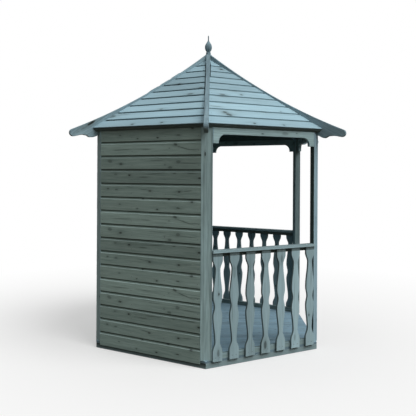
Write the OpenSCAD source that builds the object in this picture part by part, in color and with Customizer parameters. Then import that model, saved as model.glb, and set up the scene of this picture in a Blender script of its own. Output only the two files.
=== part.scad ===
// Six-sided garden arbor: a raised floor, six posts, three boarded walls, two balustrades
// and an open front under a six-sided boarded roof with hip boards and a turned finial.
// Millimetres. The origin is the centre of the floor at ground level, +Z is up, and the
// open front faces -Y. Sides are numbered anticlockwise from the front, seen from above.

/* [Plan] */
// Length of one side of the floor, corner to corner
side_len = 1200; // [1000:10:1500]

/* [Floor] */
// Height of the bearers that the deck lies on
bearer_h = 45; // [35:1:70]
// Width of the bearers
bearer_w = 45; // [35:1:60]
// Distance from one joist to the next
joist_pitch = 290; // [200:5:300]
// Thickness of the deck boards
deck_t = 20; // [16:1:28]

/* [Joints] */
// Gap left where the ends of two frame timbers butt
butt_gap = 0.4; // [0.2:0.1:0.8]

/* [Posts] */
// Height of the post tops above the ground
post_top = 2040; // [1900:10:2300]
// Width of a post's outer face
post_face = 102; // [90:1:120]
// Depth of the wall framing behind the boards
frame_t = 46; // [34:1:60]

/* [Boarded walls] */
// Thickness of the wall boards
clad_t = 12; // [10:1:24]
// How far the lowest board hangs below the deck's surface
clad_lap = 30; // [10:1:40]
// Gap between the top board and the post tops
clad_top_gap = 3; // [0:1:10]
// Width of the studs behind the boards
stud_w = 50; // [38:1:60]
// Number of studs behind one wall
stud_count = 4; // [4:1:6]
// Height of the bottom and top plates
plate_h = 50; // [38:1:75]

/* [Headers over the open sides] */
// Thickness of a header board
header_t = 30; // [20:1:34]
// Depth of the straight part of a header
header_h = 59; // [50:1:90]
// How far the brackets at its ends hang below the straight part
bracket_drop = 78; // [74:1:120]
// Width of a bracket's flat lower end
bracket_w = 56; // [30:1:80]
// Radius of the curve between bracket and header
bracket_r = 68; // [40:1:72]

/* [Balustrades] */
// Height of the handrail's top above the deck
rail_height = 931; // [850:1:1000]
// Thickness of the handrail
rail_t = 25; // [20:1:35]
// How far the handrail stands out past the floor's edge
rail_out = 30; // [26:1:40]
// How far the handrail reaches in from the floor's edge
rail_in = 42; // [38:1:70]
// Height of the batten under the handrail
top_batten_h = 33; // [25:1:45]
// Height of the batten on the deck
low_batten_h = 45; // [35:1:60]
// Width of both battens
batten_w = 38; // [30:1:45]
// Number of balusters on one side
baluster_count = 7; // [5:1:7]
// Thickness of a baluster
baluster_t = 22; // [16:1:25]
// Width of a baluster at its ends
baluster_w = 96; // [90:1:110]
// Width of a baluster at its two narrow waists
waist_w = 46; // [36:1:60]
// Width of a baluster at its two bellies
belly_w = 88; // [70:1:90]
// Width of a baluster at the notch between the bellies
notch_w = 60; // [40:1:66]
// How far the balusters hang below the deck's surface
baluster_lap = 12; // [5:1:30]
// Gap between a post and the first baluster
baluster_end_gap = 2; // [1:1:20]

/* [Roof] */
// How far a corner of the eaves reaches past the floor's corner
eave_out = 46; // [10:1:80]
// Height of the roof surface above the post tops, over the floor's edge
roof_rise = 62; // [56:1:90]
// Slope of each roof face in degrees
roof_pitch = 36; // [30:1:42]
// Thickness of the roof boards
roof_t = 16; // [12:1:22]
// Width of the eave plates
eave_plate_w = 45; // [38:1:60]

/* [Hip boards] */
// Thickness of a hip board
hip_t = 40; // [30:1:50]
// How far a hip board stands above the roof at the apex
hip_proud = 42.5; // [30:0.5:70]
// How far the hip board's top edge sags below a straight line
hip_sag = 61; // [0:1:66]
// How far the middle of the rounded tail reaches past the floor's corner
tail_out = 244; // [200:1:300]
// Radius of the rounded tail
nose_r = 32; // [26:1:40]
// Drop from the post tops to the middle of the rounded tail
tail_drop = 17; // [10:0.5:40]
// Angle at which the top edge runs into the tail's round end
nose_lean = 23; // [0:1:40]
// How far the hump near the post hangs below the tail's round end
hump_drop = 6.5; // [0:0.5:15]
// Height of the hollow between the hump and the round end
hollow_h = 18; // [8:1:24]
// Rise of the tail's lower edge from the hump to the post
root_h = 28; // [20:1:40]

/* [Apex and finial] */
// Width of the apex block across its flat sides
apex_across = 80; // [76:1:110]
// Height of the apex block
apex_h = 190; // [180:5:260]
// How far the apex block stands above the hip boards
apex_proud = 13; // [5:1:30]
// Width of the apex block's top, above its tapering end
apex_top_across = 54; // [50:1:76]
// Width and depth of the step at the foot of the apex block's tapering end
apex_step = 1; // [0.5:0.5:2]
// Diameter of the collar under the finial
collar_d = 50; // [40:1:70]
// Height of the collar
collar_h = 26; // [12:1:40]
// Diameter of the neck above the collar
neck_d = 34; // [24:1:38]
// Height of the neck
neck_h = 4; // [3:1:15]
// Greatest diameter of the bulb
bulb_d = 74; // [60:1:100]
// Height from the neck to the widest part of the bulb
bulb_low_h = 46; // [30:1:60]
// Height of the ogee from the widest part up to the spike
bulb_high_h = 80; // [60:1:130]
// Diameter of the spike
spike_d = 11; // [8:1:16]
// Height of the spike
spike_h = 44; // [15:1:60]

/* [Hidden] */
SIDES = ["front", "front_right", "back_right", "back", "back_left", "front_left"];
CORNERS = ["front_right", "right", "back_right", "back_left", "left", "front_left"];
WALL_SIDES = [2, 3, 4];
OPEN_SIDES = [5, 0, 1];
RAIL_SIDES = [5, 1];

EPS = 1;                                       // overshoot of a cutting shape
CURVE_STEPS = 8;                               // points along one stretch of a curve
apothem = side_len * cos(30);                  // centre to the middle of a side
deck_top = bearer_h + deck_t;

// The post's outer edges are flush with the boards, and its flanks are square to the sides.
post_flank = clad_t + frame_t;
post_depth = post_flank * cos(30);
post_face_r = (apothem + clad_t - post_face / 2 * sin(30)) / cos(30);
half_bay = post_face_r * sin(30) - post_face / 2 * cos(30);

rail_top = deck_top + rail_height;
rail_low = rail_top - rail_t;
header_low = post_top - header_h;
bracket_low = header_low - bracket_drop;

eave_r = side_len + eave_out;                  // centre to a corner of the eaves
eave_d = eave_r * cos(30);                     // centre to the middle of an eave
eave_z = roof_z(eave_d);
tail_r = side_len + tail_out;                  // centre to the middle of a rounded tail
hip_slope = tan(roof_pitch) * cos(30);
apex_r = apex_across / 2;
nose_z = post_top - tail_drop;
hip_apex_z = hip_z(apex_r) + hip_proud;
apex_z = hip_apex_z + apex_proud;

function roof_z(d) = post_top + roof_rise + (apothem - d) * tan(roof_pitch);
function hip_z(r) = roof_z(r * cos(30));
function ease(t) = (1 - cos(180 * t)) / 2;

// side() puts its children on side i: local x runs along it, -y points out of the arbor.
module side(i) {
    rotate([0, 0, 60 * i]) translate([0, -apothem, 0]) children();
}

// corner() puts its children on corner i: local x points from the centre to the corner.
module corner(i) {
    rotate([0, 0, 60 * i - 60]) children();
}

// bar() is a timber along a side: its ends meet the posts.
module bar(y_out, y_in, z_low, z_high) {
    translate([-half_bay, y_out, z_low]) cube([2 * half_bay, y_in - y_out, z_high - z_low]);
}

// upright() extrudes an outline drawn in x and z, from y_out to y_in.
module upright(y_out, y_in) {
    translate([0, y_in, 0]) rotate([90, 0, 0]) linear_extrude(height = y_in - y_out) children();
}

// wedge() is the plan of side 0, from the centre out, less half a slot of width w at each end.
module wedge(w) {
    reach = 2 * side_len;
    polygon([[0, -w], [-reach * tan(30), -w - reach], [reach * tan(30), -w - reach]]);
}

// sector() keeps the part of its children between the hip boards at the ends of side 0.
module sector() {
    intersection() {
        children();
        linear_extrude(height = 2 * hip_apex_z) wedge(hip_t);
    }
}

// hexagon() has its corners over the arbor's corners.
module hexagon(r) {
    circle(r = r, $fn = 6);
}

// Six mitred bearers in a ring, and joists between them along x.
module floor_frame() {
    inner_r = side_len - bearer_w / cos(30);
    joists = floor((apothem - bearer_w) / joist_pitch);
    color("darkseagreen") linear_extrude(height = bearer_h) {
        for (i = [0:5])
            rotate(60 * i) intersection() {
                wedge(butt_gap);
                translate([-side_len, -apothem]) square([2 * side_len, bearer_w]);
            }
        intersection() {
            hexagon(inner_r - butt_gap / cos(30));
            for (k = [-joists:joists])
                translate([-side_len, k * joist_pitch - bearer_w / 2]) square([2 * side_len, bearer_w]);
        }
    }
}

module floor_deck() {
    color("slategray") translate([0, 0, bearer_h]) linear_extrude(height = deck_t) hexagon(side_len);
}

module post(i) {
    inner_face = post_face - 2 * post_depth * tan(30);
    color("cadetblue") corner(i) translate([post_face_r, 0, deck_top])
        linear_extrude(height = post_top - deck_top) polygon([
            [0, -post_face / 2],
            [0, post_face / 2],
            [-post_depth, inner_face / 2],
            [-post_depth, -inner_face / 2]]);
}

module wall(i) {
    color("darkslategray") side(i) bar(-clad_t, 0, deck_top - clad_lap, post_top - clad_top_gap);
}

// Studs between a bottom plate and a top plate.
module wall_frame(i) {
    stud_pitch = (2 * half_bay - stud_w) / (stud_count - 1);
    stud_low = deck_top + plate_h + butt_gap;
    stud_high = post_top - plate_h - butt_gap;
    color("darkseagreen") side(i) {
        bar(0, frame_t, deck_top, deck_top + plate_h);
        bar(0, frame_t, post_top - plate_h, post_top);
        for (k = [0:stud_count - 1])
            translate([-half_bay + k * stud_pitch, 0, stud_low])
                cube([stud_w, frame_t, stud_high - stud_low]);
    }
}

// The space under a header: straight between the brackets, with rounded upper corners.
module header_opening() {
    w = half_bay - bracket_w;
    z_round = header_low - bracket_r;
    translate([-w, bracket_low - EPS]) square([2 * w, z_round - bracket_low + EPS]);
    translate([-w + bracket_r, bracket_low - EPS])
        square([2 * (w - bracket_r), header_low - bracket_low + EPS]);
    for (s = [-1, 1])
        translate([s * (w - bracket_r), z_round]) circle(r = bracket_r, $fn = 96);
}

module header(i) {
    color("cadetblue") side(i) upright(-clad_t, header_t - clad_t) difference() {
        translate([-half_bay, bracket_low]) square([2 * half_bay, post_top - bracket_low]);
        header_opening();
    }
}

module handrail(i) {
    color("lightsteelblue") side(i) bar(-rail_out, rail_in, rail_low, rail_top);
}

module top_batten(i) {
    color("cadetblue") side(i) bar(0, batten_w, rail_low - top_batten_h, rail_low);
}

module low_batten(i) {
    color("cadetblue") side(i) bar(0, batten_w, deck_top, deck_top + low_batten_h);
}

// Stations of a baluster's outline: share of its height, and width there.
baluster_low = deck_top - baluster_lap;
baluster_h = rail_low - baluster_low;
BALUSTER = [
    [0.09, baluster_w], [0.18, waist_w], [0.42, belly_w], [0.505, notch_w],
    [0.60, belly_w], [0.85, waist_w], [0.94, baluster_w]];
baluster_edge = concat(
    [[0, baluster_w / 2]],
    [for (k = [0:len(BALUSTER) - 2], j = [0:CURVE_STEPS - 1])
        let (a = BALUSTER[k], b = BALUSTER[k + 1], t = j / CURVE_STEPS)
        [(a[0] + (b[0] - a[0]) * t) * baluster_h, (a[1] + (b[1] - a[1]) * ease(t)) / 2]],
    [[BALUSTER[len(BALUSTER) - 1][0] * baluster_h, baluster_w / 2], [baluster_h, baluster_w / 2]]);

module baluster() {
    upright(-baluster_t, 0) translate([0, baluster_low]) polygon(concat(
        [for (p = baluster_edge) [p[1], p[0]]],
        [for (k = [len(baluster_edge) - 1:-1:0]) [-baluster_edge[k][1], baluster_edge[k][0]]]));
}

module balusters(i) {
    span = 2 * (half_bay - baluster_end_gap) - baluster_w;
    color("lightblue") side(i)
        for (k = [0:baluster_count - 1])
            translate([span * (k / (baluster_count - 1) - 0.5), 0, 0]) baluster();
}

// The eave plate lies on the header or the wall's top plate, under the ends of the roof
// boards: its top follows the roof's slope, and its outer face is square to that slope.
module eave_plate(i) {
    inner_z = roof_z(apothem - eave_plate_w) - roof_t / cos(roof_pitch);
    lip_d = eave_d - roof_t * sin(roof_pitch);
    lip_z = eave_z - roof_t * cos(roof_pitch);
    foot_d = lip_d - (lip_z - post_top) * tan(roof_pitch);
    color("darkslategray") rotate([0, 0, 60 * i]) sector()
        rotate([90, 0, 90]) translate([0, 0, -side_len]) linear_extrude(height = 2 * side_len) polygon([
            [-foot_d, post_top],
            [-apothem + eave_plate_w, post_top],
            [-apothem + eave_plate_w, inner_z],
            [-lip_d, lip_z]]);
}

// A six-sided prism whose flat sides face the hip boards.
module apex_prism(h) {
    rotate([0, 0, 30]) cylinder(r = apex_r / cos(30), h = h, $fn = 6);
}

// One roof face: a sloping slab between two hip boards, its eave cut square to the slope.
module roof(i) {
    slope = [cos(roof_pitch), sin(roof_pitch)];
    run = eave_d / cos(roof_pitch);
    color("powderblue") rotate([0, 0, 60 * i]) difference() {
        sector() rotate([90, 0, 90]) translate([0, 0, -eave_r]) linear_extrude(height = 2 * eave_r)
            translate([-eave_d, eave_z]) polygon([
                [0, 0],
                run * slope,
                run * slope + roof_t * [slope[1], -slope[0]],
                roof_t * [slope[1], -slope[0]]]);
        translate([0, 0, apex_z - apex_h]) apex_prism(apex_h);
    }
}

// Stations along the tail's lower edge: share of the way out from the post, height over the hump.
TAIL = [[0, root_h], [0.32, 0], [0.52, hollow_h], [0.65, hollow_h + 1], [1, hump_drop]];

// Outline of a hip board, as radius and height.
tail_low = nose_z - nose_r - hump_drop;
hip_seat_r = post_face_r - post_depth;
hip_top_edge = [for (k = [0:2 * CURVE_STEPS])
    let (t = k / (2 * CURVE_STEPS), z_tail = nose_z + nose_r * cos(nose_lean))
    [apex_r + (tail_r + nose_r * sin(nose_lean) - apex_r) * t,
     hip_apex_z + (z_tail - hip_apex_z) * t - hip_sag * 4 * t * (1 - t)]];
tail_edge = [for (k = [len(TAIL) - 2:-1:0], j = [CURVE_STEPS - 1:-1:0])
    let (a = TAIL[k], b = TAIL[k + 1], t = j / CURVE_STEPS)
    [post_face_r + (tail_r - post_face_r) * (a[0] + (b[0] - a[0]) * t),
     tail_low + a[1] + (b[1] - a[1]) * ease(t)]];
nose_edge = [for (k = [1:2 * CURVE_STEPS])
    let (t = 90 - nose_lean - (180 - nose_lean) * k / (2 * CURVE_STEPS))
    [tail_r + nose_r * cos(t), nose_z + nose_r * sin(t)]];

module hip_board(i) {
    color("lightsteelblue") corner(i) upright(-hip_t / 2, hip_t / 2) polygon(concat(
        hip_top_edge,
        nose_edge,
        tail_edge,
        [[post_face_r, post_top],
         [hip_seat_r, post_top],
         [apex_r, post_top + (hip_seat_r - apex_r) * hip_slope]]));
}

// The tapering end is three slabs that cross at 60 degrees, and sinks a little into the prism.
module apex_block() {
    foot = apex_r - apex_step;
    color("cadetblue") translate([0, 0, apex_z]) {
        translate([0, 0, -apex_h]) apex_prism(apex_h - apex_proud);
        intersection_for (k = [0:2]) rotate([0, 0, 60 * k]) upright(-apex_across, apex_across) polygon([
            [-foot, -apex_proud - apex_step],
            [foot, -apex_proud - apex_step],
            [apex_top_across / 2, 0],
            [-apex_top_across / 2, 0]]);
    }
}

module finial() {
    bulb_z = collar_h + neck_h + bulb_low_h;
    spike_z = bulb_z + bulb_high_h;
    bowl = [for (k = [0:CURVE_STEPS])
        let (t = 90 * k / CURVE_STEPS, swell = (sin(t) + sin(90 - 90 * cos(t))) / 2)
        [neck_d / 2 + (bulb_d - neck_d) / 2 * swell, bulb_z - bulb_low_h * cos(t)]];
    ogee = [for (k = [1:CURVE_STEPS]) let (t = k / CURVE_STEPS)
        [bulb_d / 2 + (spike_d - bulb_d) / 2 * ease(pow(t, 1.25)), bulb_z + bulb_high_h * t]];
    color("cadetblue") translate([0, 0, apex_z]) rotate_extrude($fn = 48) polygon(concat(
        [[0, 0], [collar_d / 2, 0], [collar_d / 2, collar_h], [neck_d / 2, collar_h]],
        bowl,
        ogee,
        [[spike_d / 2, spike_z + spike_h - spike_d / 2], [0, spike_z + spike_h]]));
}

floor_frame();
floor_deck();
for (i = [0:5]) {
    post(i);
    eave_plate(i);
    roof(i);
    hip_board(i);
}
for (i = WALL_SIDES) {
    wall(i);
    wall_frame(i);
}
for (i = OPEN_SIDES)
    header(i);
for (i = RAIL_SIDES) {
    handrail(i);
    top_batten(i);
    low_batten(i);
    balusters(i);
}
apex_block();
finial();
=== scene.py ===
# %% [markdown]
# # A six-sided timber garden arbor
# A raised floor, six posts, three boarded walls, two balustrades and an open front stand under
# a boarded six-sided roof with hip boards and a turned finial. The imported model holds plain
# slabs for the boards. Here every slab becomes the boards it stands for, each one a closed
# mesh with planed edges and its own grain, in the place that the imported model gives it.

import math
import random

import bmesh
import bpy
from mathutils import Matrix, Vector
from mathutils.geometry import tessellate_polygon


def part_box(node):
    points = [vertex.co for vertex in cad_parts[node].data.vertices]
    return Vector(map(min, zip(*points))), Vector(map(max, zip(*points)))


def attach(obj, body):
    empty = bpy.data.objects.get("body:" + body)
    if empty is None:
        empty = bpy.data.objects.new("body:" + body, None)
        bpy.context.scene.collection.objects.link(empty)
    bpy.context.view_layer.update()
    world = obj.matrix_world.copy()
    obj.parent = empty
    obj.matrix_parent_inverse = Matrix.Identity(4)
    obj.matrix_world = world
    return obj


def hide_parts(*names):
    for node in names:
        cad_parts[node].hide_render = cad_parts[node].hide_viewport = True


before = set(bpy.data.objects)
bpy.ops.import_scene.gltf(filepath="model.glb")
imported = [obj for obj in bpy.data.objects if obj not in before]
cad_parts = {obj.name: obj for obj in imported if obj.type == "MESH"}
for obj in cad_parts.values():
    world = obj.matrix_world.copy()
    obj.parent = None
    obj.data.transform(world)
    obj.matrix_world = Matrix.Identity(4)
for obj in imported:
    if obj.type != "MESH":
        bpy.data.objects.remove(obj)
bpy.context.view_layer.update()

# %% [markdown]
# ## Where things are
# The plan is a regular hexagon, so a piece is easiest to describe on the side that it belongs
# to: x runs along the side, y points into the arbor from the floor's edge, z is up. Turning by
# 60 degrees a side puts it in place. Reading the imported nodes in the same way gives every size.

# %% Sides, corners and the turning matrices
SIDES = ["front", "front_right", "back_right", "back", "back_left", "front_left"]
CORNERS = ["front_right", "right", "back_right", "back_left", "left", "front_left"]
WALLS = ["back_right", "back", "back_left"]
OPEN = ["front_left", "front", "front_right"]
RAILS = ["front_left", "front_right"]

COS30, TAN30 = math.cos(math.radians(30)), math.tan(math.radians(30))
deck_low, deck_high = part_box("floor_deck")
side_length = deck_high.x
apothem = side_length * COS30     # from the centre to the middle of a side


def side_place(side):
    """Matrix from a side's own axes to the arbor's."""
    turn = Matrix.Rotation(math.radians(60 * SIDES.index(side)), 4, "Z")
    return turn @ Matrix.Translation((0, -apothem, 0))


def corner_place(corner):
    """Matrix from a corner's axes, x from the centre to the corner, to the arbor's."""
    return Matrix.Rotation(math.radians(60 * CORNERS.index(corner) - 60), 4, "Z")


def box_in(place, node):
    """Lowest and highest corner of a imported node, in the axes of place."""
    back = place.inverted()
    points = [back @ v.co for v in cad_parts[node].data.vertices]
    return (Vector([min(p[k] for p in points) for k in range(3)]),
            Vector([max(p[k] for p in points) for k in range(3)]))


def on_side(side, node):
    """A side's matrix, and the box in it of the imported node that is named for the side."""
    place = side_place(side)
    return (place, *box_in(place, f"{node}_{side}"))


print("side", round(side_length, 3), "m, floor's edge", round(apothem, 3), "m from the centre")

# %% [markdown]
# ## The camera
# The view is from eye height, a few metres off one corner. The camera could be pointed at the
# middle of the arbor, but then the posts would lean together. Here it looks level and its
# frame is shifted down, as with a shift lens, so that upright things stay upright.

# %% Camera
EYE = Vector((-6.136, -0.035, 1.649))
HEADING = math.radians(0.299)          # from the x axis, anticlockwise
TILT_SIDEWAYS = math.radians(0.315)    # the camera isn't held quite level
SENSOR_W, LENS = 36, 50.78             # in mm
SHIFT_DOWN = 0.0835                    # as a share of the sensor's width

ahead = Vector((math.cos(HEADING), math.sin(HEADING), 0))
right = ahead.cross(Vector((0, 0, 1)))
up = right.cross(ahead)
level_right = right * math.cos(TILT_SIDEWAYS) + up * math.sin(TILT_SIDEWAYS)
level_up = up * math.cos(TILT_SIDEWAYS) - right * math.sin(TILT_SIDEWAYS)
camera_data = bpy.data.cameras.new("camera")
camera_data.sensor_width = SENSOR_W
camera_data.lens = LENS
camera_data.shift_y = -SHIFT_DOWN
camera = bpy.data.objects.new("camera", camera_data)
axes = Matrix((level_right, level_up, -ahead)).transposed().to_4x4()
camera.matrix_world = Matrix.Translation(EYE) @ axes
bpy.context.scene.collection.objects.link(camera)
bpy.context.scene.camera = camera
bpy.context.scene.view_settings.view_transform = "Standard"
print("camera", round((EYE - Vector((0, 0, EYE.z))).length, 2), "m from the centre")

# %% [markdown]
# ## Shader sums as Python
# A material is a graph of nodes, and sums are tedious to wire by hand. A small class that
# holds one output and knows plus, minus, times and so on lets the graph be written as ordinary
# expressions. Every other node comes from its one method, node.


# %% A socket that can be used in sums
class Wire:
    """One output of a shader graph. A sum of wires adds the Math nodes for it."""

    def __init__(self, tree, socket=None):
        self.tree, self.socket = tree, socket

    def plug(self, slot, value):
        """Links a wire to a socket, or writes a plain value into it."""
        if isinstance(value, Wire):
            self.tree.links.new(value.socket, slot)
        else:
            slot.default_value = value

    def node(self, kind, settings=None, sockets=None, out=0):
        """Any node: its type, its settings, which are set first, and its sockets' values."""
        made = self.tree.nodes.new(kind)
        for name, value in (settings or {}).items():
            setattr(made, name, value)
        for name, value in (sockets or {}).items():
            self.plug(made.inputs[name], value)
        return Wire(self.tree, made.outputs[out])

    def maths(self, operation, *values):
        return self.node("ShaderNodeMath", {"operation": operation}, dict(enumerate(values)))

    def __add__(self, other): return self.maths("ADD", self, other)
    def __radd__(self, other): return self.maths("ADD", other, self)
    def __sub__(self, other): return self.maths("SUBTRACT", self, other)
    def __rsub__(self, other): return self.maths("SUBTRACT", other, self)
    def __mul__(self, other): return self.maths("MULTIPLY", self, other)
    def __rmul__(self, other): return self.maths("MULTIPLY", other, self)
    def __truediv__(self, other): return self.maths("DIVIDE", self, other)
    def __rtruediv__(self, other): return self.maths("DIVIDE", other, self)
    def __pow__(self, other): return self.maths("POWER", self, other)
    def __rpow__(self, other): return self.maths("POWER", other, self)


print("socket class ready")


# %% Nodes that aren't sums
def clamped(wire):
    return wire.node("ShaderNodeClamp", None, {"Value": wire})


def blended(share, first, second):
    """Mixes two colours, each a wire or a colour. share is how much of the second."""
    sockets = {0: share, 6: first, 7: second}
    return share.node("ShaderNodeMix", {"data_type": "RGBA"}, sockets, out=2)


def vector(wire, x, y, z):
    return wire.node("ShaderNodeCombineXYZ", None, {0: x, 1: y, 2: z})


def parts(wire):
    """The x, y and z of a vector, as three wires."""
    made = wire.node("ShaderNodeSeparateXYZ", None, {0: wire})
    return [Wire(wire.tree, slot) for slot in made.socket.node.outputs]


def noise(wire, at, detail=2.0, rough=0.5):
    sockets = {"Vector": at, "Scale": 1.0, "Detail": detail, "Roughness": rough}
    return wire.node("ShaderNodeTexNoise", None, sockets, out="Fac")


def new_material(name):
    """An empty material, its starting wire and its Principled shader."""
    material = bpy.data.materials.new(name)
    material.use_nodes = True
    tree = material.node_tree
    return material, Wire(tree), tree.nodes["Principled BSDF"]


print("node helpers ready")

# %% [markdown]
# ## Pressure-treated softwood
# The real arbor is planed spruce or pine, soaked in a copper preservative that turns it
# blue-green. A tree trunk is a bundle of cones around a pith, so a board's pattern comes from
# where it lay in the trunk. Every vertex carries that place in an attribute: along the board,
# across it and into it, from a pith that is different for each board. Distance from the pith
# gives the year rings, so faces show flames and cut ends show arcs.
#
# Knots could come from a cell pattern, but then they are all alike and land anywhere, also
# half on an arris. So each board brings its own marks: an attribute holds the distance from
# the mark's middle, measured in its radius, and a third number for how dark it is. A round
# mark is a knot, which the grain bends round. A mark stretched along the board is a dark
# streak of resin. Other attributes carry the board's tone, cut ends, arrises with wear and
# painted edge light, and painted shade in grooves and sheltered places.


# %% Knots and streaks
MARKS = 7              # how many knots and streaks a board can carry
NO_MARK = (99.0, 99.0, 0.0)    # too far away to show
KNOT_BEND = 0.016      # how far a knot pushes the grain aside


def attribute(w, key, out="Fac"):
    return w.node("ShaderNodeAttribute", {"attribute_name": key}, None, out)


def knots(w, across, tone, marks):
    """The marks' dark cores and soft halos, and across, bent by the grain's way round them."""
    core, halo, bent = 0.0, 0.0, across
    for k in range(marks):
        nx, ny, dark = parts(attribute(w, f"mark_{k}", "Vector"))
        ragged = noise(w, vector(w, nx * 0.8, ny * 0.8, tone * 31.0 + k), 2.0, 0.6)
        reach = (nx * nx + ny * ny) * (ragged * 1.5 + 0.25)
        core = clamped((1.25 - reach) * 1.4) * dark + core
        halo = dark / (1.0 + reach * 0.3 + reach * reach * 0.03) + halo
        bent = bent - ny * KNOT_BEND * dark / (1.0 + reach * 0.3 + reach * reach * 0.02)
    return core, halo, bent


print("marks on a board:", MARKS)

# %% [markdown]
# The grain has three scales. Late wood draws a fine line once a year ring, which is the sine
# of the distance from the pith. Streaks are noise stretched along the board, broad and fine,
# and fibres are the same again, finer still. An image of wood would repeat from board to
# board, while these sums never do.


# %% The timber material
RING = 0.0042                          # from one year ring to the next
WEAR_AND_HIGHLIGHT = (0.62, 0.76, 0.80, 1)     # worn edges and cove bottoms, with a painted highlight
SILVERED = (0.20, 0.24, 0.20, 1)       # clouds of weathering
HALO, CORE = (0.07, 0.09, 0.08, 1), (0.016, 0.022, 0.020, 1)
END_GRAIN = (0.12, 0.145, 0.13, 1)
# The colour of painted shade in grooves and laps, under the eaves and the handrail, and on
# sheltered faces.
SHADE_COLOUR = (0.022, 0.032, 0.026, 1)


def timber(name, pale, deep, streaks=0.5, marks=4, arris=WEAR_AND_HIGHLIGHT):
    """Treated softwood between two colours. streaks is how strong its figure is."""
    material, w, shader = new_material(name)
    along, across, depth = parts(attribute(w, "grain", "Vector"))
    tone, end = attribute(w, "tone"), attribute(w, "end")
    wear_and_edge_light, grime = attribute(w, "wear_and_edge_light"), attribute(w, "grime")
    core, halo, bent = knots(w, across, tone, marks)

    # Rings, streaks and fibres follow the bent grain.
    wander = noise(w, vector(w, along * 0.9, across * 3.0, tone * 11.0), 1.0) - 0.5
    pith = w.maths("SQRT", bent * bent + depth * depth) + wander * 0.03
    late = (w.maths("SINE", pith * (2 * math.pi / RING)) * 0.5 + 0.5) ** 3
    broad = noise(w, vector(w, along * 1.6, bent * 30.0, depth * 30.0), 2.0, 0.5)
    fine = noise(w, vector(w, along * 5.0, bent * 95.0, depth * 95.0), 3.0, 0.65)
    fibre = noise(w, vector(w, along * 14.0, bent * 620.0, depth * 620.0), 1.0)
    cloud = noise(w, vector(w, along * 2.2, across * 7.0, tone * 23.0), 2.0)

    figure = (broad - 0.5) * 1.6 + (fine - 0.5) * 2.4
    share = clamped(figure * streaks + late * 0.16 + fibre * 0.16 + 0.34)
    colour = blended(share, pale, deep)
    colour = blended(clamped((cloud - 0.45) * 2.0) * 0.22, colour, SILVERED)
    colour = blended(clamped(halo * 0.5), colour, HALO)
    colour = blended(clamped(core * 0.75), colour, CORE)
    colour = blended(end * 0.35, colour, END_GRAIN)
    # Arrises and cove bottoms take the arris colour: wear and painted highlight on most woods,
    # painted shade on the hip boards.
    colour = blended(wear_and_edge_light * 0.25, colour, arris)
    # Painted shade: grooves, laps, eave bands, the band under the handrail and sheltered faces go
    # darker.
    colour = blended(grime * (0.6 + fibre * 0.3), colour, SHADE_COLOUR)
    level = 1.0 + tone * 0.12
    colour = w.node("ShaderNodeHueSaturation", None, {"Value": level, "Color": colour})
    w.plug(shader.inputs["Base Color"], colour)
    w.plug(shader.inputs["Roughness"], 0.74 + fibre * 0.16)
    height = late * -0.35 + fibre * 0.5 + clamped(core) * 0.6
    bump = w.node("ShaderNodeBump", None,
                  {"Strength": 0.35, "Distance": 0.0007, "Height": height})
    w.plug(shader.inputs["Normal"], bump)
    shader.inputs["Specular IOR Level"].default_value = 0.3
    return material


print("timber function ready")

# %% [markdown]
# One recipe serves every part, with a pale and a deep colour for each. The walls are greener
# and darker than the roof, which the weather has bleached blue, and the deck is greyer. The
# framing's edges take a blue colour, as wear and painted highlight, and the hip boards' edges
# are painted dark, as painted shade.

# %% The woods
# Arris colours: blue for the framing, as wear and painted highlight; dark for the hip boards, as
# painted shade along their edges.
BLUE_WEAR_AND_HIGHLIGHT = (0.38, 0.62, 0.86, 1)
EDGE_SHADE_DARK = (0.02, 0.03, 0.03, 1)
WALL_WOOD = timber("wall_boards", (0.386, 0.530, 0.495, 1), (0.209, 0.301, 0.278, 1), 0.65, MARKS)
FRAME_WOOD = timber("frame_timber", (0.36, 0.515, 0.53, 1), (0.19, 0.277, 0.29, 1), 0.7, 5,
                    BLUE_WEAR_AND_HIGHLIGHT)
RAIL_WOOD = timber("rail_timber", (0.405, 0.572, 0.622, 1), (0.26, 0.385, 0.422, 1))
ROOF_WOOD = timber("roof_boards", (0.37, 0.56, 0.645, 1), (0.25, 0.387, 0.447, 1), marks=5)
TRIM_WOOD = timber("roof_trim", (0.228, 0.34, 0.39, 1), (0.121, 0.185, 0.216, 1), 0.95,
                   arris=EDGE_SHADE_DARK)
DECK_WOOD = timber("deck_boards", (0.258, 0.415, 0.52, 1), (0.139, 0.232, 0.29, 1), 0.65)
FLOOR_WOOD = timber("floor_timber", (0.275, 0.38, 0.405, 1), (0.156, 0.229, 0.243, 1))
print("timber materials:", len(bpy.data.materials))

# %% [markdown]
# ## Nails
# The boards are fixed with galvanised nails. Their heads are a few millimetres across, dull
# grey with darker stains, so a rough metal with a patchy colour is enough.


# %% The nail material
def galvanised(name):
    material, w, shader = new_material(name)
    at = w.node("ShaderNodeTexCoord", None, None, out="Object")
    scaled = w.node("ShaderNodeVectorMath", {"operation": "SCALE"}, {0: at, "Scale": 140.0})
    patch = noise(w, scaled, 3.0, 0.6)
    colour = blended(clamped(patch * 2.4 - 0.7), (0.10, 0.115, 0.11, 1), (0.30, 0.33, 0.34, 1))
    w.plug(shader.inputs["Base Color"], colour)
    w.plug(shader.inputs["Roughness"], 0.4 + patch * 0.35)
    w.plug(shader.inputs["Metallic"], clamped(0.9 - patch * 0.6))
    return material


NAIL_METAL = galvanised("galvanised_nails")
print("nail material ready")

# %% [markdown]
# ## Boards as meshes
# A board could be a scaled cube, but then every board has the same razor edges and the same
# pattern. Here a board is a cross-section pushed along a line: the section has eased arrises
# or a milled lap, and both ends can be cut at any angle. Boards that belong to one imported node
# are gathered in a Stack, which becomes a single object.


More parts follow.
